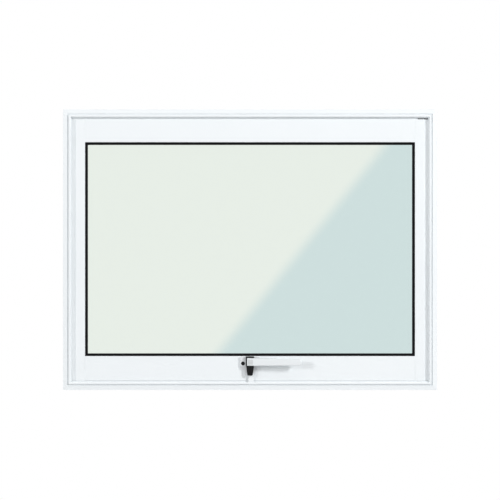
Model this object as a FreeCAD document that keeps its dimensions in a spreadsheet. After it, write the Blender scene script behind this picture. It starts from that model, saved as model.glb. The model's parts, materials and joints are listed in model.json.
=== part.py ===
"""Top hung awning window: a mitred frame, a glazed sash on side stays and a cam handle.

X runs right as seen from the room, Y from the room to the outdoors and Z up.
The origin lies on the wall face of the bottom flange, half way along it.
"""
import FreeCAD, Part
import Sketcher
import math
import os

# Driving sizes in millimetres and degrees. Places across the window are counted inwards from
# the frame's outer edge, and depths from the wall face, with the room on the minus side.
SIZES = {
    "window_width": 800,
    "window_height": 600,
    # frame section
    "frame_wall": 1.4,
    "flange_reach": 8,
    "frame_tube": 5.4,
    "flange_edge": 6.6,
    "flange_crown": 8,
    "band_width": 9.6,
    "groove_width": 2.4,
    "groove_floor": 6.2,
    "bead_width": 4.6,
    "bead_front": 10,
    "bead_round": 1.2,
    "stop_face": 5,
    "stop_reach": 2.2,
    "frame_depth": 34,
    "fixing_hole_radius": 3.25,
    "fixing_access_radius": 5.5,
    "fixing_spacing": 400,
    "fixing_depth": 27.5,
    "drain_length": 30,
    "drain_height": 4,
    "drain_spacing": 520,
    "drain_depth": 16,
    "weep_height": 2,
    # gaps between the frame and the sash
    "side_gap": 10.2,
    "head_gap": 4.6,
    "sill_gap": 2.6,
    "fin_gap": 1.4,
    "seal_fin_gap": 1.2,
    "seal_height": 1,
    # sash section
    "sash_wall": 1.4,
    "sash_front": 5,
    "sash_depth": 30,
    "sash_round": 0.8,
    "stile_face": 20.3,
    "top_rail_face": 49,
    "bottom_rail_face": 53,
    "glazing_leg": 6.5,
    # glass, gaskets and beads
    "glass_thickness": 4,
    "glass_bite": 4.5,
    "gasket_lip": 5.5,
    "gasket_tip": 1,
    "gasket_heel": 0.8,
    "outer_gasket_height": 3,
    "outer_gasket_width": 9,
    "glazing_bead_width": 10,
    "glazing_bead_step": 3,
    "glazing_bead_top": 7,
    "glazing_bead_wall": 1.2,
    # friction stays, counted down from the top end of the track
    "stay_depth": 14.5,
    "stay_top_drop": 12,
    "track_width": 11,
    "track_height": 4.4,
    "track_wall": 1.2,
    "track_lip": 2.2,
    "track_length": 300,
    "slider_length": 34,
    "slider_clearance": 0.2,
    "sash_bar_thickness": 2.5,
    "sash_bar_width": 11,
    "sash_bar_length": 240,
    "arm_thickness": 2,
    "arm_width": 9,
    "arm_lift": 0.4,
    "arm_top": 20,
    "arm_bottom": 145,
    "link_top": 165,
    "link_bottom": 225,
    "rivet_radius": 1.9,
    "rivet_head_radius": 3.4,
    # keeper
    "keeper_width": 12,
    "keeper_offset": 2.5,
    "keeper_plate": 1.6,
    "keeper_height": 19,
    "keeper_stop_gap": 0.3,
    "keeper_clearance": 0.8,
    "keeper_round": 3,
    # handle
    "pivot_height": 60.8,
    "handle_base_width": 42,
    "handle_base_rise": 10.2,
    "handle_base_drop": 10.4,
    "handle_base_thickness": 4,
    "handle_base_corner": 2,
    "handle_plate_thickness": 2,
    "handle_plate_drop": 16.4,
    "handle_tail_width": 24,
    "handle_tail_start": 18.4,
    "handle_tail_drop": 29.6,
    "handle_tail_round": 4,
    "screw_spacing": 30,
    "screw_drop": 4,
    "screw_radius": 3.85,
    "screw_recess": 1.6,
    "screw_seat": 1.2,
    "washer_radius": 8,
    "washer_thickness": 0.8,
    "washer_clearance": 0.2,
    "tongue_thickness": 4,
    "tongue_head_half": 9,
    "tongue_head_rise": 11.2,
    "tongue_root_half": 8.4,
    "tongue_root_drop": 8,
    "tongue_tip_half": 5.6,
    "tongue_length": 29.4,
    "tongue_round": 2.8,
    "tongue_rim": 1.8,
    "tongue_recess": 0.8,
    "boss_half": 6.4,
    "boss_front": 18.5,
    "boss_crest": 23,
    "crest_reach": 8.5,
    "heel_reach": 40,
    "lever_height": 16,
    "lever_front": 30,
    "lever_reach": 109,
    "lever_tip_height": 13,
    "lever_tip_thickness": 5,
    "lever_tip_round": 5,
    "lever_round": 1.8,
    "spindle_radius": 4,
    "spindle_clearance": 0.06,
    "spindle_length": 8,
}


class Size:
    """A length together with the sheet expression that it comes from."""

    def __init__(self, value, text):
        self.value = value
        self.text = text

    def __add__(self, other):
        other = as_size(other)
        return Size(self.value + other.value, f"({self.text} + {other.text})")

    def __sub__(self, other):
        other = as_size(other)
        return Size(self.value - other.value, f"({self.text} - {other.text})")

    def __mul__(self, factor):
        return Size(self.value * factor, f"({self.text} * {factor})")

    def __truediv__(self, factor):
        return Size(self.value / factor, f"({self.text} / {factor})")

    def __neg__(self):
        return Size(-self.value, f"(-{self.text})")


def as_size(length):
    return length if isinstance(length, Size) else Size(length, f"{length} mm")


doc = FreeCAD.newDocument("AwningWindow")
sheet = doc.addObject("Spreadsheet::Sheet", "Sizes")
for row, (alias, number) in enumerate(SIZES.items(), start=1):
    sheet.set(f"A{row}", alias)
    sheet.set(f"B{row}", str(number))
    sheet.setAlias(f"B{row}", alias)
doc.recompute()


def size(alias):
    return Size(float(SIZES[alias]), f"Sizes.{alias} * 1 mm")


ZERO = Size(0.0, "0 mm")
PARTS = []


def bind(thing, prop, length):
    """Give a property its length now and tie it to the sheet."""
    thing.setExpression(prop, length.text)


def new_body(label):
    body = doc.addObject("PartDesign::Body", label)
    body.Label = label
    PARTS.append(body)
    doc.recompute()
    return body


def place(body, x, y, z, turn=0.0):
    """Put a body's origin at a point, turned about the Y axis by a number of degrees."""
    body.Placement = FreeCAD.Placement(
        FreeCAD.Vector(x.value, y.value, z.value),
        FreeCAD.Rotation(FreeCAD.Vector(0, 1, 0), turn))
    bind(body, "Placement.Base.x", x)
    bind(body, "Placement.Base.y", y)
    bind(body, "Placement.Base.z", z)


def new_sketch(body, plane, name, offset=ZERO):
    """Start a sketch on one of the body's own origin planes, moved along the plane's normal."""
    sketch = body.newObject("Sketcher::SketchObject", name)
    support = [feature for feature in body.Origin.OriginFeatures if feature.Role == plane]
    sketch.AttachmentSupport = [(support[0], "")]
    sketch.MapMode = "FlatFace"
    bind(sketch, "AttachmentOffset.Base.z", offset)
    return sketch


def hold(sketch, geometry, end, across, up):
    """Fix one point of a sketch at two sheet sizes from the sketch's origin."""
    for name, axis, length in (("DistanceX", -2, across), ("DistanceY", -1, up)):
        if length is ZERO:
            sketch.addConstraint(Sketcher.Constraint("PointOnObject", geometry, end, axis))
            continue
        rule = Sketcher.Constraint(name, -1, 1, geometry, end, length.value)
        number = sketch.addConstraint(rule)
        sketch.setExpression(f"Constraints[{number}]", length.text)


def draw_loop(sketch, corners):
    """Draw a closed outline of straight lines through corners held at sheet sizes."""
    points = [FreeCAD.Vector(across.value, up.value, 0) for across, up in corners]
    first = sketch.GeometryCount
    count = len(points)
    for index in range(count):
        sketch.addGeometry(Part.LineSegment(points[index], points[(index + 1) % count]), False)
    for index, (across, up) in enumerate(corners):
        following = first + (index + 1) % count
        sketch.addConstraint(Sketcher.Constraint("Coincident", first + index, 2, following, 1))
        hold(sketch, first + index, 1, across, up)


def draw_circle(sketch, across, up, radius):
    centre = FreeCAD.Vector(across.value, up.value, 0)
    circle = Part.Circle(centre, FreeCAD.Vector(0, 0, 1), radius.value)
    geometry = sketch.addGeometry(circle, False)
    number = sketch.addConstraint(Sketcher.Constraint("Radius", geometry, radius.value))
    sketch.setExpression(f"Constraints[{number}]", radius.text)
    hold(sketch, geometry, 3, across, up)


def draw_slot(sketch, start, end, up, radius):
    """Draw a bar with round ends between two points at the same height."""
    normal = FreeCAD.Vector(0, 0, 1)
    low, high = sorted((start, end), key=lambda length: length.value)
    centres = [FreeCAD.Vector(low.value, up.value, 0), FreeCAD.Vector(high.value, up.value, 0)]
    rise = FreeCAD.Vector(0, radius.value, 0)
    quarter = math.pi / 2
    left = Part.ArcOfCircle(Part.Circle(centres[0], normal, radius.value), quarter, 3 * quarter)
    right = Part.ArcOfCircle(Part.Circle(centres[1], normal, radius.value), -quarter, quarter)
    first = sketch.GeometryCount
    sketch.addGeometry(left, False)
    sketch.addGeometry(Part.LineSegment(centres[0] - rise, centres[1] - rise), False)
    sketch.addGeometry(right, False)
    sketch.addGeometry(Part.LineSegment(centres[1] + rise, centres[0] + rise), False)
    for index in range(4):
        following = first + (index + 1) % 4
        sketch.addConstraint(Sketcher.Constraint("Tangent", first + index, 2, following, 1))
    sketch.addConstraint(Sketcher.Constraint("Equal", first, first + 2))
    number = sketch.addConstraint(Sketcher.Constraint("Radius", first, radius.value))
    sketch.setExpression(f"Constraints[{number}]", radius.text)
    hold(sketch, first, 3, low, up)
    hold(sketch, first + 2, 3, high, up)


def box_corners(left, low, right, high):
    return [(left, low), (right, low), (right, high), (left, high)]


def pad(body, sketch, name, length, symmetric=False, reverse=False):
    feature = body.newObject("PartDesign::Pad", name)
    feature.Profile = sketch
    feature.SideType = "Symmetric" if symmetric else "One side"
    feature.Reversed = reverse
    bind(feature, "Length", length)
    body.Tip = feature
    doc.recompute()
    return feature


def cut(body, sketch, name, length=None, symmetric=False, reverse=False):
    """Pocket a sketch, right through when no length is given, and see that it took metal away."""
    before = body.Shape.Volume
    feature = body.newObject("PartDesign::Pocket", name)
    feature.Profile = sketch
    feature.SideType = "Symmetric" if symmetric else "One side"
    feature.Reversed = reverse
    if length is None:
        feature.Type = "ThroughAll"
    else:
        bind(feature, "Length", length)
    body.Tip = feature
    doc.recompute()
    if not body.Shape.Volume < before:
        raise ValueError(f"{body.Label}: {name} cut nothing")
    return feature


def round_edges(body, name, radius, wanted):
    """Fillet the edges of the body's last feature whose middle passes the test."""
    base = body.Tip
    names = []
    for number, edge in enumerate(base.Shape.Edges, start=1):
        middle = edge.valueAt((edge.FirstParameter + edge.LastParameter) / 2)
        if wanted(edge, middle):
            names.append(f"Edge{number}")
    fillet = body.newObject("PartDesign::Fillet", name)
    fillet.Base = (base, names)
    bind(fillet, "Radius", radius)
    body.Tip = fillet
    doc.recompute()
    return fillet


def near(number, length):
    return abs(number - length.value) < 1e-4


def mitre_ends(body, length, low, high):
    """Cut both ends of a run at 45 degrees, from its full length at the low edge."""
    sketch = new_sketch(body, "XZ_Plane", body.Label + "_mitre")
    reach = high - low
    for side in (1, -1):
        draw_loop(sketch, [
            (length / 2 * side, low),
            (length / 2 * side, high),
            ((length / 2 - reach) * side, high),
        ])
    cut(body, sketch, body.Label + "_mitres", symmetric=True)


# places that several pieces share

width = size("window_width")
height = size("window_height")
half_width = width / 2
edge_z = -(size("flange_reach") / 2)
top_z = edge_z + height
middle_z = edge_z + height / 2

lip_edge = size("band_width") + size("groove_width") + size("bead_width")
web_inner = size("flange_reach") + size("frame_tube")
stop_back = -size("stop_face") + size("frame_wall")
fin_front = stop_back + size("seal_height")
fin_edge = web_inner + size("fin_gap")
seal_fin_edge = lip_edge + size("seal_fin_gap")
sash_back = size("sash_depth") - size("sash_front")

stile_edge = lip_edge + size("side_gap")
head_edge = lip_edge + size("head_gap")
sill_edge = lip_edge + size("sill_gap")

# clear edges of the sash opening: left and right, top, bottom
stile_sight = stile_edge + size("stile_face")
head_sight = head_edge + size("top_rail_face")
sill_sight = sill_edge + size("bottom_rail_face")


inner_gasket_height = size("sash_front") - size("sash_wall")
glass_back = size("glass_thickness")
bead_front = glass_back + size("outer_gasket_height")

rail_face = -size("sash_front")
pivot_z = edge_z + size("pivot_height")


def frame_member(label, length, x, z, turn):
    """One mitred length of the frame section, drawn with its outer edge on the X axis."""
    wall = size("frame_wall")
    body = new_body(label)
    sketch = new_sketch(body, "YZ_Plane", label + "_section")
    groove_start = size("band_width")
    groove_end = groove_start + size("groove_width")
    depth = size("frame_depth")
    draw_loop(sketch, [
        (ZERO, ZERO),
        (-size("flange_edge"), ZERO),
        (-size("flange_crown"), groove_start),
        (-size("groove_floor"), groove_start),
        (-size("groove_floor"), groove_end),
        (-size("bead_front"), groove_end),
        (-size("bead_front"), lip_edge),
        (-size("stop_face"), lip_edge),
        (-size("stop_face"), lip_edge + size("stop_reach")),
        (stop_back, lip_edge + size("stop_reach")),
        (stop_back, lip_edge),
        (ZERO, lip_edge),
        (ZERO, web_inner),
        (depth, web_inner),
        (depth, size("flange_reach")),
        (ZERO, size("flange_reach")),
    ])
    draw_loop(sketch, [
        (-wall, wall),
        (-size("flange_edge") + wall, wall),
        (-size("flange_crown") + wall, groove_start - wall),
        (-size("groove_floor") + wall, groove_start - wall),
        (-size("groove_floor") + wall, groove_end + wall),
        (-size("bead_front") + wall, groove_end + wall),
        (-size("bead_front") + wall, lip_edge - wall),
        (-wall, lip_edge - wall),
    ])
    draw_loop(sketch, box_corners(ZERO, size("flange_reach") + wall,
                                  depth - wall, web_inner - wall))
    pad(body, sketch, label + "_run", length, symmetric=True)

    def on_bead(edge, middle):
        long = edge.Length > length.value / 2
        bead = near(middle.z, groove_end) or near(middle.z, lip_edge)
        return long and bead and near(middle.y, -size("bead_front"))

    round_edges(body, label + "_bead", size("bead_round"), on_bead)
    mitre_ends(body, length, ZERO, lip_edge + size("stop_reach") + wall)
    place(body, x, ZERO, z, turn)
    return body


def drill_jamb(jamb):
    """Two screw holes through the tube's outer wall, each with an access hole before it."""
    wall = size("frame_wall")
    holes = new_sketch(jamb, "XY_Plane", jamb.Label + "_hole_centres")
    access = new_sketch(jamb, "XY_Plane", jamb.Label + "_access_centres", web_inner)
    for side in (1, -1):
        along = size("fixing_spacing") / 2 * side
        draw_circle(holes, along, size("fixing_depth"), size("fixing_hole_radius"))
        draw_circle(access, along, size("fixing_depth"), size("fixing_access_radius"))
    cut(jamb, holes, jamb.Label + "_holes", reverse=True)
    cut(jamb, access, jamb.Label + "_access", wall)


def drain_sill(sill):
    """Slots from the gutter into the tube, and weep slots from the tube to the outdoors."""
    wall = size("frame_wall")
    half_slot = size("drain_length") / 2
    drains = new_sketch(sill, "XY_Plane", "drain_slots", web_inner)
    weeps = new_sketch(sill, "XZ_Plane", "weep_slots", -size("frame_depth"))
    weep_middle = size("flange_reach") + size("frame_tube") / 2
    for side in (1, -1):
        centre = size("drain_spacing") / 2 * side
        draw_loop(drains, box_corners(
            centre - half_slot, size("drain_depth") - size("drain_height") / 2,
            centre + half_slot, size("drain_depth") + size("drain_height") / 2))
        draw_slot(weeps, centre - half_slot, centre + half_slot, weep_middle,
                  size("weep_height") / 2)
    cut(sill, drains, "drains", wall)
    cut(sill, weeps, "weeps", wall, reverse=True)


def build_frame():
    drain_sill(frame_member("frame_sill", width, ZERO, edge_z, 0))
    frame_member("frame_head", width, ZERO, top_z, 180)
    drill_jamb(frame_member("frame_jamb_left", height, -half_width, middle_z, 90))
    drill_jamb(frame_member("frame_jamb_right", height, half_width, middle_z, -90))


def straight_piece(label, length, corners, x, z, turn, hole=None):
    """A plain length of a section given as (depth, inwards) corners."""
    body = new_body(label)
    sketch = new_sketch(body, "YZ_Plane", label + "_section")
    draw_loop(sketch, corners)
    if hole:
        draw_loop(sketch, hole)
    pad(body, sketch, label + "_run", length, symmetric=True)
    place(body, x, ZERO, z, turn)
    return body


def build_weather_seals():
    low = lip_edge
    high = lip_edge + size("stop_reach")
    corners = box_corners(stop_back, low, fin_front, high)
    across = width - low * 2
    upright = height - high * 2
    straight_piece("weather_seal_bottom", across, corners, ZERO, edge_z, 0)
    straight_piece("weather_seal_top", across, corners, ZERO, top_z, 180)
    straight_piece("weather_seal_left", upright, corners, -half_width, middle_z, 90)
    straight_piece("weather_seal_right", upright, corners, half_width, middle_z, -90)


def sash_section(face, outer_edge=None):
    """Corners of a sash member's outline and of its hollow, from its own outer face inwards."""
    wall = size("sash_wall")
    front = -size("sash_front")
    back = sash_back
    box = face - size("glazing_leg")
    outline = [
        (front, ZERO),
        (front, face),
        (front + wall, face),
        (front + wall, box),
        (back, box),
    ]
    if outer_edge:
        fin = outer_edge - fin_edge
        seal_fin = outer_edge - seal_fin_edge
        outline += [
            (back, -fin),
            (back - wall, -fin),
            (back - wall, ZERO),
            (fin_front + wall, ZERO),
            (fin_front + wall, -seal_fin),
            (fin_front, -seal_fin),
            (fin_front, ZERO),
        ]
    else:
        outline += [(back, ZERO)]
    hollow = [
        (front + wall, wall),
        (front + wall, box - wall),
        (back - wall, box - wall),
        (back - wall, wall),
    ]
    return outline, hollow


def round_sash(body, face, length):
    def on_face(edge, middle):
        long = edge.Length > length.value / 2
        return long and near(middle.y, rail_face)

    round_edges(body, body.Label + "_arris", size("sash_round"), on_face)


def build_stiles():
    length = height - head_edge - sill_edge
    centre = (edge_z + sill_edge + top_z - head_edge) / 2
    face = size("stile_face")
    outline, hollow = sash_section(face, stile_edge)
    for name, side, turn in (("left", -1, 90), ("right", 1, -90)):
        body = straight_piece("sash_stile_" + name, length, outline,
                              (half_width - stile_edge) * side, centre, turn, hollow)
        round_sash(body, face, length)


def build_rail(label, face, outer_edge, z, turn):
    """A rail runs between the stiles' boxes, and its face stops at their glazing legs."""
    wall = size("sash_wall")
    outline, hollow = sash_section(face)
    length = width - (stile_sight - size("glazing_leg")) * 2
    body = new_body(label)
    section = new_sketch(body, "YZ_Plane", label + "_section")
    draw_loop(section, outline)
    draw_loop(section, hollow)
    pad(body, section, label + "_run", length, symmetric=True)
    round_sash(body, face, length)

    reach = outer_edge - seal_fin_edge
    seal_fin = new_sketch(body, "YZ_Plane", label + "_seal_fin_section")
    draw_loop(seal_fin, box_corners(fin_front, -reach, fin_front + wall, ZERO))
    pad(body, seal_fin, label + "_seal_fin", length, symmetric=True)
    outer_fin = new_sketch(body, "YZ_Plane", label + "_outer_fin_section")
    reach = outer_edge - fin_edge
    draw_loop(outer_fin, box_corners(sash_back - wall, -reach, sash_back, ZERO))
    pad(body, outer_fin, label + "_outer_fin", width - fin_edge * 2, symmetric=True)

    cope = new_sketch(body, "XY_Plane", label + "_cope")
    for side in (1, -1):
        draw_loop(cope, [
            (length / 2 * side, rail_face),
            (length / 2 * side, rail_face + wall),
            ((length / 2 - size("glazing_leg")) * side, rail_face + wall),
            ((length / 2 - size("glazing_leg")) * side, rail_face),
        ])
    cut(body, cope, label + "_copes", reverse=True)
    place(body, ZERO, ZERO, z, turn)


def build_rails():
    build_rail("sash_bottom_rail", size("bottom_rail_face"), sill_edge, edge_z + sill_edge, 0)
    build_rail("sash_top_rail", size("top_rail_face"), head_edge, top_z - head_edge, 180)


def glazing_sides():
    """Name, run length, clear edge, place and turn of each side of the glazed opening."""
    across = width - stile_sight * 2
    upright = height - head_sight - sill_sight
    centre = (edge_z + sill_sight + top_z - head_sight) / 2
    return [
        ("bottom", across, ZERO, edge_z + sill_sight, 0),
        ("top", across, ZERO, top_z - head_sight, 180),
        ("left", upright, -(half_width - stile_sight), centre, 90),
        ("right", upright, half_width - stile_sight, centre, -90),
    ]


def build_glazing():
    leg = size("glazing_leg")
    bite = size("glass_bite")
    pane = new_body("glass_pane")
    left = half_width - stile_sight + bite
    low = edge_z + sill_sight - bite
    high = top_z - head_sight + bite
    sketch = new_sketch(pane, "XZ_Plane", "glass_outline")
    draw_loop(sketch, box_corners(-left, low, left, high))
    pad(pane, sketch, "glass_sheet", size("glass_thickness"), reverse=True)

    lip = size("gasket_lip")
    front = -inner_gasket_height
    inner = [
        (front, -bite),
        (front, ZERO),
        (front - size("gasket_heel"), ZERO),
        (-size("gasket_tip"), lip),
        (ZERO, lip),
        (ZERO, -bite),
    ]
    outer_high = -bite + size("outer_gasket_width")
    outer = box_corners(glass_back, -bite, bead_front, outer_high)
    wall = size("glazing_bead_wall")
    bead_high = size("glazing_bead_width") - leg
    bead_low = size("glazing_bead_top") - leg
    step = bead_front + size("glazing_bead_step")
    bead = [
        (bead_front, -leg),
        (bead_front, bead_high),
        (step, bead_high),
        (sash_back, bead_low),
        (sash_back, -leg),
    ]
    hollow = [
        (bead_front + wall, -leg + wall),
        (bead_front + wall, bead_high - wall),
        (step, bead_high - wall),
        (sash_back - wall, bead_low - wall),
        (sash_back - wall, -leg + wall),
    ]
    for name, run, x, z, turn in glazing_sides():
        for label, corners, hole, low, high in (
            ("inner_gasket_", inner, None, -bite, lip),
            ("outer_gasket_", outer, None, -bite, outer_high),
            ("glazing_bead_", bead, hollow, -leg, bead_high),
        ):
            length = run - low * 2
            piece = straight_piece(label + name, length, corners, x, z, turn, hole)
            mitre_ends(piece, length, low, high)


def stay_bar(label, x, turn, down, top, bottom, low, thickness, half):
    """A flat round-ended bar of a stay, from one end centre to the other down the jamb."""
    body = new_body(label)
    sketch = new_sketch(body, "XY_Plane", label + "_outline", low)
    draw_slot(sketch, top * down, bottom * down, size("stay_depth"), half)
    pad(body, sketch, label + "_plate", thickness)
    place(body, x, ZERO, top_z - head_edge - size("stay_top_drop"), turn)
    return body


def add_discs(body, name, along, low, length, radius):
    """Round pins or rivet heads on a stay bar, at the same places along it."""
    sketch = new_sketch(body, "XY_Plane", name, low)
    for place_along in along:
        draw_circle(sketch, place_along, size("stay_depth"), radius)
    pad(body, sketch, name + "_pins", length)


def build_stay(side_name, x, turn, down):
    """One friction stay folded shut: a track on the jamb, a slider, two arms and a sash bar."""
    depth = size("stay_depth")
    half = size("track_width") / 2
    wall = size("track_wall")
    lip = wall + size("track_lip")
    track_top = web_inner + size("track_height")
    track_start = top_z - head_edge - size("stay_top_drop")
    track = [
        (depth - half, web_inner),
        (depth + half, web_inner),
        (depth + half, track_top),
        (depth + half - lip, track_top),
        (depth + half - lip, track_top - wall),
        (depth + half - wall, track_top - wall),
        (depth + half - wall, web_inner + wall),
        (depth - half + wall, web_inner + wall),
        (depth - half + wall, track_top - wall),
        (depth - half + lip, track_top - wall),
        (depth - half + lip, track_top),
        (depth - half, track_top),
    ]
    length = size("track_length")
    straight_piece("stay_track_" + side_name, length, track, x, track_start - length / 2, turn)

    gap = size("slider_clearance")
    slider_half = half - wall - gap
    slider_low = web_inner + wall
    slider = straight_piece("stay_slider_" + side_name, size("slider_length"), box_corners(
        depth - slider_half, slider_low, depth + slider_half, track_top - wall - gap),
        x, track_start - size("arm_bottom"), turn)

    arm_low = track_top + size("arm_lift")
    arm_half = size("arm_width") / 2
    thickness = size("arm_thickness")
    bar_low = stile_edge - size("sash_bar_thickness")
    ends = {"arm": ("arm_bottom", "arm_top"), "link": ("link_bottom", "link_top")}
    for name, (frame_end, sash_end) in ends.items():
        frame_pin = size(frame_end) * down
        sash_pin = size(sash_end) * down
        body = stay_bar(f"stay_{name}_{side_name}", x, turn, down, size(sash_end),
                        size(frame_end), arm_low, thickness, arm_half)
        # the arm's rivet stands on the slider, the link's on the track's floor
        rivet_low = track_top - wall - gap if name == "arm" else web_inner + wall
        add_discs(body, f"{name}_frame_{side_name}", [frame_pin], rivet_low,
                  arm_low - rivet_low, size("rivet_radius"))
        add_discs(body, f"{name}_sash_{side_name}", [sash_pin], arm_low + thickness,
                  bar_low - arm_low - thickness, size("rivet_radius"))
        add_discs(body, f"{name}_heads_{side_name}", [frame_pin], arm_low + thickness,
                  size("arm_lift") * 2, size("rivet_head_radius"))

    sash_half = size("sash_bar_width") / 2
    stay_bar("stay_sash_bar_" + side_name, x, turn, down, sash_half,
             size("sash_bar_length") - sash_half, bar_low, size("sash_bar_thickness"),
             sash_half)


def build_stays():
    build_stay("left", -half_width, 90, 1)
    build_stay("right", half_width, -90, -1)


def build_keeper():
    """A bent plate on the sill's lip that the tongue catches behind its own tip."""
    plate = size("keeper_plate")
    face = tongue_back() + size("keeper_clearance")
    foot = -size("stop_face") - size("keeper_stop_gap")
    top = size("keeper_height")
    body = new_body("latch_keeper")
    sketch = new_sketch(body, "YZ_Plane", "keeper_section")
    draw_loop(sketch, [
        (face, ZERO),
        (face, top),
        (face + plate, top),
        (face + plate, plate),
        (foot, plate),
        (foot, ZERO),
    ])
    pad(body, sketch, "keeper_bend", size("keeper_width"), symmetric=True)
    corner = size("keeper_width") / 2

    def at_top_corner(edge, middle):
        return near(abs(middle.x), corner) and near(middle.z, top)

    round_edges(body, "keeper_corners", size("keeper_round"), at_top_corner)
    place(body, size("keeper_offset"), ZERO, edge_z + lip_edge)


def build_handle_base():
    thick = size("handle_base_thickness")
    half = size("handle_base_width") / 2
    rise = size("handle_base_rise")
    drop = size("handle_base_drop")
    tail_half = size("handle_tail_width") / 2
    tail_end = size("handle_tail_drop")
    body = new_body("handle_base")
    plate = new_sketch(body, "XZ_Plane", "handle_plate_outline", -rail_face)
    draw_loop(plate, [
        (-half, ZERO),
        (-half, -size("handle_plate_drop")),
        (-tail_half, -size("handle_tail_start")),
        (-tail_half, -tail_end),
        (tail_half, -tail_end),
        (tail_half, -size("handle_tail_start")),
        (half, -size("handle_plate_drop")),
        (half, ZERO),
    ])
    pad(body, plate, "handle_plate", size("handle_plate_thickness"))

    def at_tail_corner(edge, middle):
        return near(abs(middle.x), tail_half) and near(middle.z, -tail_end)

    round_edges(body, "handle_tail_corners", size("handle_tail_round"), at_tail_corner)
    cover = new_sketch(body, "XZ_Plane", "handle_cover_outline", -rail_face)
    draw_loop(cover, box_corners(-half, -drop, half, rise))
    pad(body, cover, "handle_cover", thick)

    def at_corner(edge, middle):
        along_depth = near(edge.Length, thick) or near(
            edge.Length, thick - size("handle_plate_thickness"))
        at_end = near(middle.z, rise) or near(middle.z, -drop)
        return along_depth and near(abs(middle.x), half) and at_end

    def on_front(edge, middle):
        return near(middle.y, rail_face - thick)

    round_edges(body, "handle_base_corners", size("handle_base_corner"), at_corner)
    round_edges(body, "handle_base_arris", size("sash_round"), on_front)
    recess = new_sketch(body, "XZ_Plane", "screw_recesses", -(rail_face - thick))
    for side in (1, -1):
        draw_circle(recess, size("screw_spacing") / 2 * side, -size("screw_drop"),
                    size("screw_radius"))
    cut(body, recess, "screw_holes", size("screw_recess"))
    place(body, ZERO, ZERO, pivot_z)

    screws = new_body("handle_screws")
    heads = new_sketch(screws, "XZ_Plane", "screw_heads",
                       -(rail_face - thick + size("screw_recess")))
    for side in (1, -1):
        draw_circle(heads, size("screw_spacing") / 2 * side, -size("screw_drop"),
                    size("screw_radius"))
    pad(screws, heads, "screw_caps", size("screw_seat"))
    place(screws, ZERO, ZERO, pivot_z)


def tongue_back():
    """Depth of the tongue's rear face: washer and running gap in front of the base."""
    base_front = rail_face - size("handle_base_thickness")
    return base_front - size("washer_thickness") - size("washer_clearance")


def build_spindle():
    base_front = rail_face - size("handle_base_thickness")
    washer = new_body("handle_washer")
    sketch = new_sketch(washer, "XZ_Plane", "washer_ring", -base_front)
    draw_circle(sketch, ZERO, ZERO, size("washer_radius"))
    draw_circle(sketch, ZERO, ZERO, size("spindle_radius") + size("washer_clearance"))
    pad(washer, sketch, "washer_disc", size("washer_thickness"))
    place(washer, ZERO, ZERO, pivot_z)

    spindle = new_body("handle_spindle")
    sketch = new_sketch(spindle, "XZ_Plane", "spindle_circle", -base_front)
    draw_circle(sketch, ZERO, ZERO, size("spindle_radius"))
    pad(spindle, sketch, "spindle_pin", size("spindle_length"))
    place(spindle, ZERO, ZERO, pivot_z)


def build_tongue():
    head = size("tongue_head_half")
    rise = size("tongue_head_rise")
    root = size("tongue_root_half")
    drop = size("tongue_root_drop")
    tip = size("tongue_tip_half")
    body = new_body("handle_tongue")
    sketch = new_sketch(body, "XZ_Plane", "tongue_outline", -tongue_back())
    draw_loop(sketch, [
        (-head, rise),
        (-head, -drop),
        (-root, -drop),
        (-tip, -size("tongue_length")),
        (tip, -size("tongue_length")),
        (root, -drop),
        (head, -drop),
        (head, rise),
    ])
    draw_circle(sketch, ZERO, ZERO, size("spindle_radius") + size("spindle_clearance"))
    pad(body, sketch, "tongue_plate", size("tongue_thickness"))

    def at_tip(edge, middle):
        across = abs(middle.x)
        return near(across, tip) and near(middle.z, -size("tongue_length"))

    round_edges(body, "tongue_tip", size("tongue_round"), at_tip)
    rim = size("tongue_rim")
    hub = size("spindle_radius") + rim * 2
    recess = new_sketch(body, "XZ_Plane", "tongue_recess_outline",
                        -tongue_back() + size("tongue_thickness"))
    for side in (1, -1):
        draw_loop(recess, [
            (rim / 2 * side, -hub),
            ((root - rim) * side, -hub),
            ((tip - rim) * side, -size("tongue_length") + rim * 2),
            (rim / 2 * side, -size("tongue_length") + rim * 2),
        ])
    cut(body, recess, "tongue_recesses", size("tongue_recess"))
    place(body, ZERO, ZERO, pivot_z)


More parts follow.
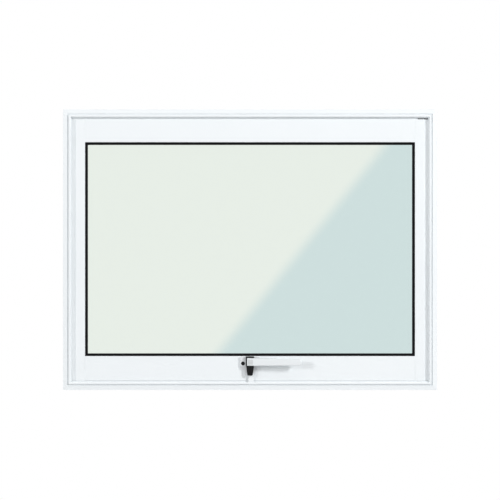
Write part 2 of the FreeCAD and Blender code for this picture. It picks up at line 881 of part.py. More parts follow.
def build_lever():
    """The lever: a wedge-shaped boss over the spindle and an arm that leans off the rail."""
    back = tongue_back() - size("tongue_thickness")
    front = size("lever_front")
    half = size("lever_height") / 2
    boss = size("boss_half")
    crest = size("crest_reach")
    reach = size("lever_reach")
    body = new_body("handle_lever")
    plan = new_sketch(body, "XY_Plane", "lever_plan")
    draw_loop(plan, [
        (-boss, back),
        (-boss, -size("boss_front")),
        (crest, -size("boss_crest")),
        (reach, -front),
        (reach, -front + size("lever_tip_thickness")),
        (size("heel_reach"), back),
    ])
    pad(body, plan, "lever_block", size("lever_height"), symmetric=True)

    taper = new_sketch(body, "XZ_Plane", "lever_taper_outline")
    tip = size("lever_tip_height") / 2
    for side in (1, -1):
        draw_loop(taper, [
            (crest, half * side),
            (reach, tip * side),
            (reach, half * side),
        ])
    cut(body, taper, "lever_taper", reverse=True)

    def at_tip_corner(edge, middle):
        return near(middle.x, reach) and near(abs(middle.z), tip)

    def on_front(edge, middle):
        """On the outline of the front's two slopes or on the crest between them."""
        if middle.x > crest.value:
            low, high, start, end = crest, reach, size("boss_crest"), front
        else:
            low, high, start, end = -boss, crest, size("boss_front"), size("boss_crest")
        share = (middle.x - low.value) / (high.value - low.value)
        return near(-middle.y, start + (end - start) * share)

    round_edges(body, "lever_tip", size("lever_tip_round"), at_tip_corner)
    round_edges(body, "lever_arris", size("lever_round"), on_front)

    bore = new_sketch(body, "XZ_Plane", "spindle_bore", -back)
    draw_circle(bore, ZERO, ZERO, size("spindle_radius") + size("spindle_clearance"))
    spindle_end = rail_face - size("handle_base_thickness") - size("spindle_length")
    cut(body, bore, "lever_bore", back - spindle_end + size("washer_thickness"), reverse=True)
    place(body, ZERO, ZERO, pivot_z)


build_frame()
build_weather_seals()
build_stiles()
build_rails()
build_glazing()
build_stays()
build_keeper()
build_handle_base()
build_spindle()
build_tongue()
build_lever()
doc.recompute()

for thing in doc.Objects:
    if "Invalid" in thing.State or "Error" in thing.State:
        raise ValueError(f"{thing.Label} failed: {thing.State}")
for body in PARTS:
    if body.Shape.isNull() or not body.Shape.isValid():
        raise ValueError(f"{body.Label} has no valid shape")

os.makedirs("parts", exist_ok=True)
for body in PARTS:
    body.Shape.exportStep(f"parts/{body.Label}.step")
print(len(PARTS), "pieces written")
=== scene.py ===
# %% [markdown]
# # A top hung awning window, dressed for a picture
# The window is already built at its real size as a set of solid pieces: a mitred frame, a sash,
# the glass, its gaskets, the side stays and a cam handle. This lesson gives every piece its
# finish, models the few things that are finer than the solids, and sets up light and camera.
# They stay exactly where they are, because the real thing is made of cut metal lengths whose
# places are fixed by their joints.

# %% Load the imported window
import json
import math

import bmesh
import bpy
from mathutils import Matrix, Vector
from mathutils.bvhtree import BVHTree


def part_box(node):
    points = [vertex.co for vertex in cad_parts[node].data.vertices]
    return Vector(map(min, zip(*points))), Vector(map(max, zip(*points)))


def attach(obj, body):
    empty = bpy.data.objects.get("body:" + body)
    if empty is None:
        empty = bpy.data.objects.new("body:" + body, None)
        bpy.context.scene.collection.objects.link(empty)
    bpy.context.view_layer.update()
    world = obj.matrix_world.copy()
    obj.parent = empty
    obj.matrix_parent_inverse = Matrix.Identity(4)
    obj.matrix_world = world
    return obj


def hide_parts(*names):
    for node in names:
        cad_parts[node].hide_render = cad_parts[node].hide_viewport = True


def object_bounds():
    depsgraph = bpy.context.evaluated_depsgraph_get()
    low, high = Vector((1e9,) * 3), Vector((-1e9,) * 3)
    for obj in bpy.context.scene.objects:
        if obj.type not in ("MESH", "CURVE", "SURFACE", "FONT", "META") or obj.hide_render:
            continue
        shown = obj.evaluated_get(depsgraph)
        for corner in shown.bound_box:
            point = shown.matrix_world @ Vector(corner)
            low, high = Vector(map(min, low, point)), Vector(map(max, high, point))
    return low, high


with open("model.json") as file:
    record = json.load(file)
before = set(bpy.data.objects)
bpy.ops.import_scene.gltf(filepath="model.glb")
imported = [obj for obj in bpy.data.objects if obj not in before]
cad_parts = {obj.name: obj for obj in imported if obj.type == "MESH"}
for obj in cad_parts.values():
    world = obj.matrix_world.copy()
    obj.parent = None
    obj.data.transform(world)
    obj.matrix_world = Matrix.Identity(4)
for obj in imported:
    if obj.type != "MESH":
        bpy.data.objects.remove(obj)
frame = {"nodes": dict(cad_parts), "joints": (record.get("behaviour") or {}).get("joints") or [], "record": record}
nodes = frame["nodes"]
solid_box = [list(corner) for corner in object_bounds()]
print("pieces:", len(nodes), "box:", solid_box)

# %% [markdown]
# ## Places taken from the solids
# A fitting sits on what carries it, so its place is read from the piece below it and never
# typed in. A box gives the ends of a piece. A line shot at the piece finds a spot on a face
# inside that box, and the way the face leans. Every length here is in metres.

# %% Directions and places that the new pieces need
RIGHT = Vector((1.0, 0.0, 0.0))
OUTDOORS = Vector((0.0, 1.0, 0.0))
UP = Vector((0.0, 0.0, 1.0))

window_low, window_high = (Vector(corner) for corner in solid_box)
window_middle = (window_low + window_high) / 2
pivot = Vector(frame["joints"][0]["pos_m"])
print("pivot:", tuple(pivot))

# %% Shoot a line at a solid
STAND_BACK = 1.0


def meet(node, start, way):
    """Find where a line from a point meets a solid, and which way its face looks there."""
    mesh = nodes[node].data
    corners = [vertex.co for vertex in mesh.vertices]
    faces = [list(face.vertices) for face in mesh.polygons]
    tree = BVHTree.FromPolygons(corners, faces)
    spot, normal = tree.ray_cast(start, way)[:2]
    return spot, normal


def meet_from_room(node, across, up):
    """Shoot the line straight outdoors, from well inside the room."""
    return meet(node, Vector((across, -STAND_BACK, up)), OUTDOORS)


# %% [markdown]
# ## A small kit for finishes
# Every finish is a node tree on a Principled shader. The pattern in it is driven by Object
# coordinates in metres, so a speck of the powder coat is a fraction of a millimetre wide on
# a long rail and on a small lever alike. An image would blur or repeat, and it would need a
# file, so the patterns are worked out by noise instead.

# %% A new material, and a pattern for it
def new_finish(name, color, roughness, metallic=0.0):
    """Make a material, and give its tree, its shader and the coordinates for its patterns."""
    material = bpy.data.materials.new(name)
    material.use_nodes = True
    tree = material.node_tree
    shader = tree.nodes["Principled BSDF"]
    shader.inputs["Base Color"].default_value = (*color, 1.0)
    shader.inputs["Roughness"].default_value = roughness
    shader.inputs["Metallic"].default_value = metallic
    place = tree.nodes.new("ShaderNodeTexCoord")
    return material, tree, shader, place


def noise(tree, place, scale, detail=2.0, stretch=None):
    """A noise pattern whose scale counts cells in a metre, drawn out along an axis if asked."""
    pattern = tree.nodes.new("ShaderNodeTexNoise")
    pattern.inputs["Scale"].default_value = scale
    pattern.inputs["Detail"].default_value = detail
    source = place.outputs["Object"]
    if stretch:
        mapping = tree.nodes.new("ShaderNodeMapping")
        mapping.inputs["Scale"].default_value = stretch
        tree.links.new(source, mapping.inputs["Vector"])
        source = mapping.outputs["Vector"]
    tree.links.new(source, pattern.inputs["Vector"])
    return pattern.outputs["Fac"]


# %% What a pattern may do to the shader: tone, gloss and relief
NOISE_LOW = 0.3
NOISE_HIGH = 0.7


def spread(tree, pattern, low, high):
    """Map the range that noise mostly keeps to onto a low and a high number."""
    node = tree.nodes.new("ShaderNodeMapRange")
    node.inputs["From Min"].default_value = NOISE_LOW
    node.inputs["From Max"].default_value = NOISE_HIGH
    node.inputs["To Min"].default_value = low
    node.inputs["To Max"].default_value = high
    tree.links.new(pattern, node.inputs["Value"])
    return node.outputs["Result"]


def vary_tone(tree, shader, pattern, dark, light):
    """Let the colour wander between two tones."""
    mix = tree.nodes.new("ShaderNodeMix")
    mix.data_type = "RGBA"
    mix.inputs["A"].default_value = (*dark, 1.0)
    mix.inputs["B"].default_value = (*light, 1.0)
    tree.links.new(spread(tree, pattern, 0.0, 1.0), mix.inputs["Factor"])
    tree.links.new(mix.outputs["Result"], shader.inputs["Base Color"])


def vary_gloss(tree, shader, pattern, smooth, rough):
    """Let the roughness wander between two numbers."""
    tree.links.new(spread(tree, pattern, smooth, rough), shader.inputs["Roughness"])


def relief(tree, shader, pattern, depth, strength=1.0):
    """Turn a pattern into fine relief of a stated depth."""
    bump = tree.nodes.new("ShaderNodeBump")
    bump.inputs["Distance"].default_value = depth
    bump.inputs["Strength"].default_value = strength
    tree.links.new(pattern, bump.inputs["Height"])
    tree.links.new(bump.outputs["Normal"], shader.inputs["Normal"])


# %% [markdown]
# ## White powder coat
# The frame, sash, beads and handle are aluminium under a baked polyester powder. Powder melts
# into a skin with a faint orange peel, so the finish needs a very low, soft relief a few
# millimetres across, a finer grain on top, and a gloss that wanders a little. The handle's
# base is pale grey. The lever has the frame's white coat, but its copy is a slightly duller
# white than the rail behind it: painted shade for the shade that its face takes.

# %% Powder coat
GRAIN_SHARE = 0.3


def powder_coat(name, dark, light):
    material, tree, shader, place = new_finish(name, light, roughness=0.38)
    peel = noise(tree, place, scale=420.0)
    grain = noise(tree, place, scale=2600.0, detail=1.0)
    cloud = noise(tree, place, scale=6.0, detail=3.0)
    vary_tone(tree, shader, cloud, dark, light)
    vary_gloss(tree, shader, peel, smooth=0.34, rough=0.44)
    skin = tree.nodes.new("ShaderNodeMath")
    skin.operation = "MULTIPLY_ADD"
    skin.inputs[1].default_value = GRAIN_SHARE
    tree.links.new(grain, skin.inputs[0])
    tree.links.new(peel, skin.inputs[2])
    relief(tree, shader, skin.outputs["Value"], depth=0.00006)
    return material


white = powder_coat("white_powder_coat", (0.842, 0.878, 0.900), (0.858, 0.892, 0.912))
pale_grey = powder_coat("grey_powder_coat", (0.735, 0.755, 0.780), (0.760, 0.780, 0.805))
# The lever's copy of the white is darker: painted shade on its face.
lever_painted_shade = powder_coat("lever_coat_painted_shade", (0.790, 0.822, 0.842), (0.806, 0.838, 0.857))
print("made", white.name, pale_grey.name, lever_painted_shade.name)

# %% [markdown]
# ## Glass
# Float glass looks clear face on and green at its cut edge. The pane is a closed solid, so a
# Principled shader with full transmission bends light once in and once out. A very light
# green-grey colour stands for the iron in the glass, and a long, shallow wave for the way it
# cooled.

# %% Glass
GLASS_IOR = 1.45


def window_glass():
    material, tree, shader, place = new_finish("window_glass", (0.605, 0.730, 0.722),
                                               roughness=0.0)
    shader.inputs["Transmission Weight"].default_value = 1.0
    shader.inputs["IOR"].default_value = GLASS_IOR
    wave = noise(tree, place, scale=2.2, detail=1.0)
    relief(tree, shader, wave, depth=0.0002, strength=0.15)
    return material


glass = window_glass()
print("made", glass.name)

# %% [markdown]
# ## Rubber, nylon and steel
# The glazing gaskets are black rubber and the weather seals between frame and sash are pale
# grey: the recess round the sash shows no black line. Extruded rubber is matt with a bloom of
# wax that comes and goes. Moulded nylon has a fine spark-eroded grain. The stays are rolled
# strip with a brushed run, which is the same noise drawn out along the strip.

# %% Rubber
RUBBER_SHINE = 0.08


def extruded_rubber(name, dark, light):
    material, tree, shader, place = new_finish(name, light, roughness=0.85)
    shader.inputs["Specular IOR Level"].default_value = RUBBER_SHINE
    bloom = noise(tree, place, scale=60.0, detail=3.0)
    vary_tone(tree, shader, bloom, dark, light)
    vary_gloss(tree, shader, bloom, smooth=0.75, rough=0.95)
    relief(tree, shader, noise(tree, place, scale=1800.0), depth=0.00004)
    return material


rubber = extruded_rubber("black_rubber", (0.004, 0.004, 0.0045), (0.008, 0.008, 0.009))
pale_rubber = extruded_rubber("pale_seal_rubber", (0.60, 0.62, 0.63), (0.66, 0.68, 0.69))
print("made", rubber.name, pale_rubber.name)

# %% Nylon
NYLON_SHINE = 0.22


def moulded_nylon():
    material, tree, shader, place = new_finish("black_nylon", (0.0035, 0.0035, 0.0045),
                                               roughness=0.5)
    shader.inputs["Specular IOR Level"].default_value = NYLON_SHINE
    grain = noise(tree, place, scale=2400.0, detail=1.0)
    vary_gloss(tree, shader, grain, smooth=0.38, rough=0.55)
    relief(tree, shader, grain, depth=0.00005)
    return material


nylon = moulded_nylon()
print("made", nylon.name)

# %% Steel
BRUSHED_RUN = (1.0, 1.0, 0.02)


def stay_steel():
    material, tree, shader, place = new_finish("stay_steel", (0.60, 0.60, 0.58),
                                               roughness=0.3, metallic=1.0)
    brush = noise(tree, place, scale=900.0, stretch=BRUSHED_RUN)
    vary_gloss(tree, shader, brush, smooth=0.24, rough=0.42)
    relief(tree, shader, brush, depth=0.00003)
    return material


steel = stay_steel()
print("made", steel.name)

# %% [markdown]
# ## Hand the finishes out
# Each solid names its material slot in the record, so the finish is looked up there and no
# piece is forgotten. The lever shares its slot with the frame, and then gets a darker copy of
# the white, which is painted shade.

# %% Dress the solids
FINISHES = {
    "white_powder_coat": white,
    "grey_powder_coat": pale_grey,
    "window_glass": glass,
    "black_rubber": rubber,
    "pale_seal_rubber": pale_rubber,
    "black_nylon": nylon,
    "stay_steel": steel,
}
for part in frame["record"]["subparts"]:
    mesh = nodes[part["node"]].data
    mesh.materials.clear()
    mesh.materials.append(FINISHES[part["material_slot"]])
# The lever's darker white is painted shade.
nodes["handle_lever"].data.materials[0] = lever_painted_shade

# %% [markdown]
# ## Screw heads
# Two black screws hold the handle's base. Each head is a low dome with a cross for the driver,
# and its rim lies on the cover round a recess. The solid only keeps their place as a disc. A
# boolean could sink the cross, but it leaves slivers that shade badly. Here a flat disc is cut
# along the lines of the cross, so the cross is made of faces of its own. They are drawn
# inwards, and the faces they start from are deleted, because those would roof the cross over.
# Then the rim is drawn out into a dome and tucked back into the recess. The dome has to stay
# low, because the tongue passes over it when the handle turns.

# %% Turn a bmesh into a piece of the window
SOFT_BEND = math.radians(35.0)


def finish_piece(shape, name, body, finish, replaced=()):
    """Make an object of a shape, with the body it rides on and what it replaces."""
    bmesh.ops.recalc_face_normals(shape, faces=shape.faces)
    for face in shape.faces:
        face.smooth = True
    mesh = bpy.data.meshes.new(name)
    shape.to_mesh(mesh)
    shape.free()
    mesh.set_sharp_from_angle(angle=SOFT_BEND)
    mesh.materials.append(finish)
    piece = bpy.data.objects.new(name, mesh)
    bpy.context.scene.collection.objects.link(piece)
    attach(piece, body)
    if replaced:
        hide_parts(*replaced)


def points_of(geometry):
    return [item for item in geometry if isinstance(item, bmesh.types.BMVert)]


def edges_of(geometry):
    return [item for item in geometry if isinstance(item, bmesh.types.BMEdge)]


# %% Cut the cross into a disc and sink it
SCREW_FLAT = 0.0025
SCREW_SEGMENTS = 48
CROSS_REACH = 0.0021
CROSS_HALF = 0.00052
CROSS_DEPTH = 0.0013
CROSS_TAPER = 0.72


def crossed_disc():
    shape = bmesh.new()
    bmesh.ops.create_circle(shape, cap_ends=True, segments=SCREW_SEGMENTS, radius=SCREW_FLAT)
    for axis in (Vector((1.0, 0.0, 0.0)), Vector((0.0, 1.0, 0.0))):
        for line in (-CROSS_REACH, -CROSS_HALF, CROSS_HALF, CROSS_REACH):
            everything = shape.verts[:] + shape.edges[:] + shape.faces[:]
            bmesh.ops.bisect_plane(shape, geom=everything, plane_co=axis * line, plane_no=axis)
    cross = []
    for face in shape.faces:
        middle = face.calc_center_median()
        narrow, wide = sorted((abs(middle.x), abs(middle.y)))
        if narrow < CROSS_HALF and wide < CROSS_REACH:
            cross.append(face)
    sunk = points_of(bmesh.ops.extrude_face_region(shape, geom=cross)["geom"])
    bmesh.ops.delete(shape, geom=cross, context="FACES")
    bmesh.ops.scale(shape, verts=sunk, vec=(CROSS_TAPER, CROSS_TAPER, 1.0))
    bmesh.ops.translate(shape, verts=sunk, vec=(0.0, 0.0, -CROSS_DEPTH))
    return shape


# %% Measure the recess, and draw the outline of a head
HEAD_OVERLAP = 0.00028
NECK_FIT = 0.00012
DOME_HEIGHT = 0.00066
DOME_RINGS = 6
RIM_GAP = 0.00004

screws_low, screws_high = (Vector(corner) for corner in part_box("handle_screws"))
screw_middle = (screws_low + screws_high) / 2
recess_radius = (screws_high.z - screws_low.z) / 2
head_radius = recess_radius + HEAD_OVERLAP
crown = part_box("handle_base")[0][1] - RIM_GAP - DOME_HEIGHT


def head_profile():
    """Radius and depth of each ring: over the dome, in under its rim, and down to the seat."""
    rings = []
    for step in range(1, DOME_RINGS + 1):
        angle = step / DOME_RINGS * math.pi / 2
        rings.append((SCREW_FLAT + (head_radius - SCREW_FLAT) * math.sin(angle),
                      DOME_HEIGHT * (1 - math.cos(angle))))
    rings.append((recess_radius - NECK_FIT, DOME_HEIGHT))
    rings.append((recess_radius - NECK_FIT, screws_high.y - crown))
    return rings


print("screw heads of", round(head_radius * 2000, 2), "mm")

# %% Draw the rim out along that outline, once for each screw
QUARTER_TURN = math.pi / 2


def screw_head(name, across, turn):
    shape = crossed_disc()
    ring = [edge for edge in shape.edges if edge.is_boundary]
    radius, depth = SCREW_FLAT, 0.0
    for next_radius, next_depth in head_profile():
        made = bmesh.ops.extrude_edge_only(shape, edges=ring)["geom"]
        moved = points_of(made)
        factor = next_radius / radius
        bmesh.ops.scale(shape, verts=moved, vec=(factor, factor, 1.0))
        bmesh.ops.translate(shape, verts=moved, vec=(0.0, 0.0, depth - next_depth))
        ring = [edge for edge in edges_of(made) if edge.is_boundary]
        radius, depth = next_radius, next_depth
    bmesh.ops.edgeloop_fill(shape, edges=ring)
    bmesh.ops.rotate(shape, verts=shape.verts, matrix=Matrix.Rotation(turn, 3, "Z"))
    bmesh.ops.rotate(shape, verts=shape.verts, matrix=Matrix.Rotation(QUARTER_TURN, 3, "X"))
    bmesh.ops.translate(shape, verts=shape.verts, vec=(across, crown, screw_middle.z))
    finish_piece(shape, name, "window", nylon, ("handle_screws",))


screw_reach = screws_high.x - recess_radius
screw_head("screw_head_left", -screw_reach, math.radians(20.0))
screw_head("screw_head_right", screw_reach, math.radians(64.0))
print("screws", round(screw_reach * 2000, 1), "mm apart")

# %% [markdown]
# ## Cap on the boss
# The wedge at the lever's root has a square cap let into its slope, over the screw that holds
# the lever. The cap's grey is painted shade: it is darker than the lever, as the slope looks in
# shade. The slope leans by an angle that the solid already has, so a line is shot at the lever
# and the cap is turned to the face that the line meets. A rounded block starts as one square
# face: its corners are bevelled as points, the face is drawn up, and the upper edge is bevelled
# again.

# %% A block with round corners and a soft upper edge
CORNER_STEPS = 6
EDGE_STEPS = 3


def rounded_block(width, height, thickness, corner, edge):
    shape = bmesh.new()
    bmesh.ops.create_grid(shape, x_segments=1, y_segments=1, size=0.5)
    bmesh.ops.scale(shape, verts=shape.verts, vec=(width, height, 1.0))
    bmesh.ops.bevel(shape, geom=shape.verts[:], offset=corner, segments=CORNER_STEPS,
                    profile=0.5, affect="VERTICES", material=-1)
    raised = points_of(bmesh.ops.extrude_face_region(shape, geom=shape.faces[:])["geom"])
    bmesh.ops.translate(shape, verts=raised, vec=(0.0, 0.0, thickness))
    rim = [item for item in shape.edges if all(point in raised for point in item.verts)]
    bmesh.ops.bevel(shape, geom=rim, offset=edge, segments=EDGE_STEPS,
                    profile=0.5, affect="EDGES", material=-1)
    return shape


def turn_to_face(shape, spot, normal, sink):
    """Stand a block on a face, a little sunk into it, with its height kept upright."""
    along = UP.cross(normal).normalized()
    turned = Matrix((along, normal.cross(along), normal)).transposed()
    bmesh.ops.rotate(shape, verts=shape.verts, matrix=turned)
    bmesh.ops.translate(shape, verts=shape.verts, vec=spot - normal * sink)


# %% The cap
CAP_WIDTH = 0.0106
CAP_HEIGHT = 0.0106
CAP_PROUD = 0.00018
CAP_ACROSS = 0.0011
CAP_CORNER = 0.0014
CAP_EDGE = 0.00012
LET_IN = 0.0004

# The cap's grey is painted shade: darker than the lever, as its slope looks in shade.
cap_painted_shade = powder_coat("cap_painted_shade", (0.650, 0.666, 0.682), (0.668, 0.684, 0.700))
cap_spot, cap_normal = meet_from_room("handle_lever", pivot.x + CAP_ACROSS, pivot.z)
cap = rounded_block(CAP_WIDTH, CAP_HEIGHT, LET_IN + CAP_PROUD, CAP_CORNER, CAP_EDGE)
turn_to_face(cap, cap_spot, cap_normal, LET_IN)
finish_piece(cap, "boss_cap", "handle", cap_painted_shade)
cap_lean = math.degrees(math.atan2(-cap_normal.x, -cap_normal.y))
print("boss leans by", round(cap_lean, 1), "degrees")

# %% [markdown]
# ## Grip ribs on the tongue
# The photo shows two short pale marks near the tongue's tip. They are ribs that catch the light
# inside the tongue's sunk face. Each is another rounded block, placed on the sunk face by a
# line shot at the tongue.

# %% Two ribs
RIB_WIDTH = 0.0011
RIB_HEIGHT = 0.0052
RIB_PROUD = 0.0007
RIB_APART = 0.0042
RIB_DROP = 0.0236
RIB_CORNER = 0.0005
RIB_EDGE = 0.0003

for side, name in ((-1, "tongue_rib_left"), (1, "tongue_rib_right")):
    rib_spot, rib_normal = meet_from_room("handle_tongue", pivot.x + side * RIB_APART / 2,
                                          pivot.z - RIB_DROP)
    rib = rounded_block(RIB_WIDTH, RIB_HEIGHT, LET_IN + RIB_PROUD, RIB_CORNER, RIB_EDGE)
    turn_to_face(rib, rib_spot, rib_normal, LET_IN)
    finish_piece(rib, name, "handle", nylon)
    print(name, "stands on a face at", round(rib_spot.y * 1000, 2), "mm")

# %% [markdown]
# ## Corner block of the left stile
# The stiles are tubes cut square, and their top ends show in the gap under the head. In the
# photo the right end is a dark slot and the left end is pale, so a white moulding closes the
# left one: a plug in the tube, and above it a fin that carries on the rail's own fin. Both are
# rounded blocks. Their sizes are measured by lines shot at the walls round them, so the
# moulding fits whatever the tube is.

# %% Measure the tube and plug it
TUBE_MIDDLE = 0.0134
PLUG_DEPTH = 0.006
PLUG_SUNK = 0.0005
PLUG_CORNER = 0.0006
PLUG_EDGE = 0.0003
MOULDING_FIT = 0.0001

stile_low, stile_high = (Vector(corner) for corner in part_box("sash_stile_left"))
inside = Vector((stile_high.x - TUBE_MIDDLE, (stile_low.y + stile_high.y) / 2,
                 stile_high.z - PLUG_DEPTH / 2))
left_wall, right_wall, room_wall, outer_wall = (
    meet("sash_stile_left", inside, way)[0] for way in (-RIGHT, RIGHT, -OUTDOORS, OUTDOORS))
plug_width = right_wall.x - left_wall.x - MOULDING_FIT * 2
plug_length = outer_wall.y - room_wall.y - MOULDING_FIT * 2
plug = rounded_block(plug_width, plug_length, PLUG_DEPTH, PLUG_CORNER, PLUG_EDGE)
bmesh.ops.translate(plug, verts=plug.verts, vec=(
    (left_wall.x + right_wall.x) / 2, (room_wall.y + outer_wall.y) / 2,
    stile_high.z - PLUG_SUNK - PLUG_DEPTH))
finish_piece(plug, "stile_plug_left", "window", white)
print("plug:", round(plug_width * 1000, 1), "by", round(plug_length * 1000, 1), "mm")

# %% Carry the rail's fin on over the stile
FIN_WALL = 0.0014
FIN_LAP = 0.0004
FIN_CORNER = 0.0004
FIN_EDGE = 0.0002

seal_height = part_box("weather_seal_top")[0][2] + FIN_LAP
fin_front = meet_from_room("sash_top_rail", window_middle.x, seal_height)[0].y
fin_middle = fin_front + FIN_WALL / 2
fin_top = meet("sash_top_rail", Vector((window_middle.x, fin_middle, window_high.z)), -UP)[0].z
fin_end = meet("sash_top_rail", Vector((stile_low.x, fin_middle, seal_height)), RIGHT)[0].x
fin_foot = stile_high.z + MOULDING_FIT
fin_width = fin_end - stile_low.x - MOULDING_FIT * 2
fin_rise = fin_top - fin_foot
fin = rounded_block(fin_width, fin_rise, FIN_WALL, FIN_CORNER, FIN_EDGE)
fin_back = Vector(((fin_end + stile_low.x) / 2, fin_front + FIN_WALL, (fin_top + fin_foot) / 2))
turn_to_face(fin, fin_back, -OUTDOORS, 0.0)
finish_piece(fin, "corner_fin_left", "window", white)
print("fin:", round(fin_width * 1000, 1), "by", round(fin_rise * 1000, 1), "mm")

# %% [markdown]
# ## Floor
# The window hangs at its mounting face, so nothing carries it here. A pale floor lies well
# below it and catches a soft shadow in the raised views. A square floor would show its corners
# there, so this one is a disc that fades out towards its rim.

# %% A finish that fades
FLOOR_REACH = 1.4
FADE_START = 0.55
FADE_END = 0.97


def soft_range(tree, value, low, high, start, end):
    """Map a value from low..high onto start..end with soft ends."""
    node = tree.nodes.new("ShaderNodeMapRange")
    node.interpolation_type = "SMOOTHSTEP"
    node.inputs["From Min"].default_value = low
    node.inputs["From Max"].default_value = high
    node.inputs["To Min"].default_value = start
    node.inputs["To Max"].default_value = end
    tree.links.new(value, node.inputs["Value"])
    return node.outputs["Result"]


def floor_finish():
    """A matt pale grey whose alpha falls with the distance from the upright axis."""
    material, tree, shader, place = new_finish("pale_floor", (0.82, 0.82, 0.82), roughness=0.9)
    flat = tree.nodes.new("ShaderNodeVectorMath")
    flat.operation = "MULTIPLY"
    flat.inputs[1].default_value = (1.0, 1.0, 0.0)
    away = tree.nodes.new("ShaderNodeVectorMath")
    away.operation = "LENGTH"
    tree.links.new(place.outputs["Object"], flat.inputs[0])
    tree.links.new(flat.outputs["Vector"], away.inputs[0])
    fade = soft_range(tree, away.outputs["Value"], FLOOR_REACH * FADE_START,
                      FLOOR_REACH * FADE_END, 1.0, 0.0)
    tree.links.new(fade, shader.inputs["Alpha"])
    return material


# %% The floor
FLOOR_DROP = 0.6
FLOOR_SEGMENTS = 96


def pale_floor():
    shape = bmesh.new()
    bmesh.ops.create_circle(shape, cap_ends=True, segments=FLOOR_SEGMENTS, radius=FLOOR_REACH)
    bmesh.ops.translate(shape, verts=shape.verts, vec=(0.0, 0.0, window_low.z - FLOOR_DROP))
    mesh = bpy.data.meshes.new("floor")
    shape.to_mesh(mesh)
    shape.free()
    floor = bpy.data.objects.new("floor", mesh)
    bpy.context.scene.collection.objects.link(floor)
    mesh.materials.append(floor_finish())


pale_floor()
print("floor at", round(window_low.z - FLOOR_DROP, 3))

# %% [markdown]
# ## White surroundings
# The surroundings are white to the camera, to reflections and through the glass. The light that
# they send is weaker than that, so that pale paint keeps its shading. The side that a ray
# leaves by is told by its Y, so the room's light and the outdoor light can be set apart.

# %% A white world
ROOM_LIGHT = 0.41
OUTDOOR_LIGHT = 0.52
LIGHT_CHANGE = 0.3


def combine(tree, operation, first, second):
    """One sum on two values, or on a value and a plain number."""
    node = tree.nodes.new("ShaderNodeMath")
    node.operation = operation
    tree.links.new(first, node.inputs[0])
    if isinstance(second, float):
        node.inputs[1].default_value = second
    else:
        tree.links.new(second, node.inputs[1])
    return node.outputs["Value"]


def white_world():
    """White where the camera, a reflection or the glass sees it, and soft light elsewhere."""
    world = bpy.data.worlds.new("studio")
    world.use_nodes = True
    bpy.context.scene.world = world
    tree = world.node_tree
    path = tree.nodes.new("ShaderNodeLightPath")
    place = tree.nodes.new("ShaderNodeTexCoord")
    compass = tree.nodes.new("ShaderNodeSeparateXYZ")
    tree.links.new(place.outputs["Generated"], compass.inputs["Vector"])
    light = soft_range(tree, compass.outputs["Y"], -LIGHT_CHANGE, LIGHT_CHANGE,
                       ROOM_LIGHT, OUTDOOR_LIGHT)
    seen = path.outputs["Is Camera Ray"]
    for kind in ("Is Glossy Ray", "Is Transmission Ray"):
        seen = combine(tree, "MAXIMUM", seen, path.outputs[kind])
    blend = tree.nodes.new("ShaderNodeMix")
    blend.inputs["B"].default_value = 1.0
    tree.links.new(seen, blend.inputs["Factor"])
    tree.links.new(light, blend.inputs["A"])
    background = tree.nodes["Background"]
    tree.links.new(blend.outputs["Result"], background.inputs["Strength"])
    return tree, path, place, compass, background


world_parts = white_world()
print("room light", ROOM_LIGHT, "outdoor light", OUTDOOR_LIGHT)

# %% [markdown]
# ## The sheen on the pane
# The real pane shows a warm sheen with a slanting edge. Bare glass mirrors only a thirtieth of
# the light that falls on it, so a sunlit stretch of room bright enough to show there would
# leave a grain. The sheen comes from outdoors instead, as a slightly warmer and brighter
# stretch of sky on one side of a slanting plane. Only a ray through the pane picks it up, so
# the camera still sees plain white beside the window.

# %% The sunlit stretch of sky behind the pane
SUNLIT_SIDE = (-0.779, 0.0327, 0.627)
SUNLIT_BLUR = 0.007
SUNLIT_COLOUR = (1.329, 1.177, 1.102)


def sunlit_sky(tree, path, place, compass, background):
    """Warm the world on the sunlit side, for rays that leave outdoors through the glass."""
    side = tree.nodes.new("ShaderNodeVectorMath")
    side.operation = "DOT_PRODUCT"
    side.inputs[1].default_value = SUNLIT_SIDE
    tree.links.new(place.outputs["Generated"], side.inputs[0])
    share = soft_range(tree, side.outputs["Value"], -SUNLIT_BLUR, SUNLIT_BLUR, 0.0, 1.0)
    outdoors = combine(tree, "GREATER_THAN", compass.outputs["Y"], 0.0)
    share = combine(tree, "MULTIPLY", share, outdoors)
    share = combine(tree, "MULTIPLY", share, path.outputs["Is Transmission Ray"])
    colour = tree.nodes.new("ShaderNodeMix")
    colour.data_type = "RGBA"
    colour.inputs["A"].default_value = (1.0, 1.0, 1.0, 1.0)
    colour.inputs["B"].default_value = (*SUNLIT_COLOUR, 1.0)
    tree.links.new(share, colour.inputs["Factor"])
    tree.links.new(colour.outputs["Result"], background.inputs["Color"])


sunlit_sky(*world_parts)
print("sunlit stretch in", SUNLIT_COLOUR)

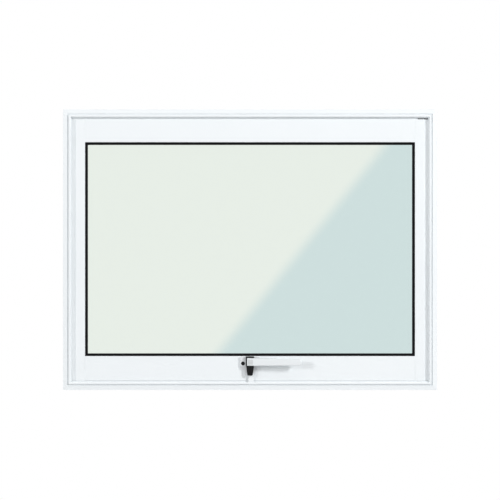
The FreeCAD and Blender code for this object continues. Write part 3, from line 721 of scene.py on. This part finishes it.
# %% [markdown]
# ## Light
# The window is lit evenly, with a little more light from above and from the right: the recess
# on the right is darker than the one on the left, and the lever's shadow falls down and to the
# left. One big lamp would be even too, but it would wash that shadow out. So a small lamp high
# on the right draws the shadows, and a wider, weaker one on the left opens them. A very weak
# one overhead adds to the slope from head to sill, and the last only shapes the outdoor side.

# %% Lamps: name, place, width, height and watts
LAMPS = (
    ("side_key", (3.4, -2.7, 1.9), 0.6, 0.6, 121.0),
    ("side_fill", (-3.0, -2.6, 1.1), 0.8, 0.8, 48.0),
    ("overhead", (0.0, -1.1, 1.75), 1.4, 0.6, 3.2),
    ("outdoor_key", (-1.6, 2.2, 2.0), 1.0, 0.8, 36.0),
)


def area_lamp(name, place, width, height, watts):
    """Hang a flat lamp that looks at the middle of the window."""
    data = bpy.data.lights.new(name, "AREA")
    data.shape = "RECTANGLE"
    data.size = width
    data.size_y = height
    data.energy = watts
    lamp = bpy.data.objects.new(name, data)
    lamp.location = place
    lamp.rotation_euler = (window_middle - Vector(place)).to_track_quat("-Z", "Y").to_euler()
    bpy.context.scene.collection.objects.link(lamp)


for lamp_facts in LAMPS:
    area_lamp(*lamp_facts)
print("lamps:", len(LAMPS))

# %% [markdown]
# ## Camera
# The window fills 373 of the 500 pixels across, is seen square on from the room, and its two
# sides look alike, so the camera stands level with its middle, less a third of a pixel. A long
# lens from a few metres keeps the depth of the sections as flat as they look.

# %% Camera
CAMERA_DISTANCE = 2.6
CAMERA_DROP = 0.0008
SENSOR_WIDTH = 36.0
PICTURE_PIXELS = 500.0
WINDOW_PIXELS = 373.2

window_width = window_high.x - window_low.x
picture_width = window_width * PICTURE_PIXELS / WINDOW_PIXELS
camera_data = bpy.data.cameras.new("camera")
camera_data.sensor_fit = "HORIZONTAL"
camera_data.sensor_width = SENSOR_WIDTH
camera_data.lens = SENSOR_WIDTH * CAMERA_DISTANCE / picture_width
camera = bpy.data.objects.new("camera", camera_data)
camera.location = (window_middle.x, -CAMERA_DISTANCE, window_middle.z - CAMERA_DROP)
camera.rotation_euler = (QUARTER_TURN, 0.0, 0.0)
bpy.context.scene.collection.objects.link(camera)
bpy.context.scene.camera = camera
bpy.context.scene.view_settings.view_transform = "Standard"
print("lens:", round(camera_data.lens, 1), "mm")
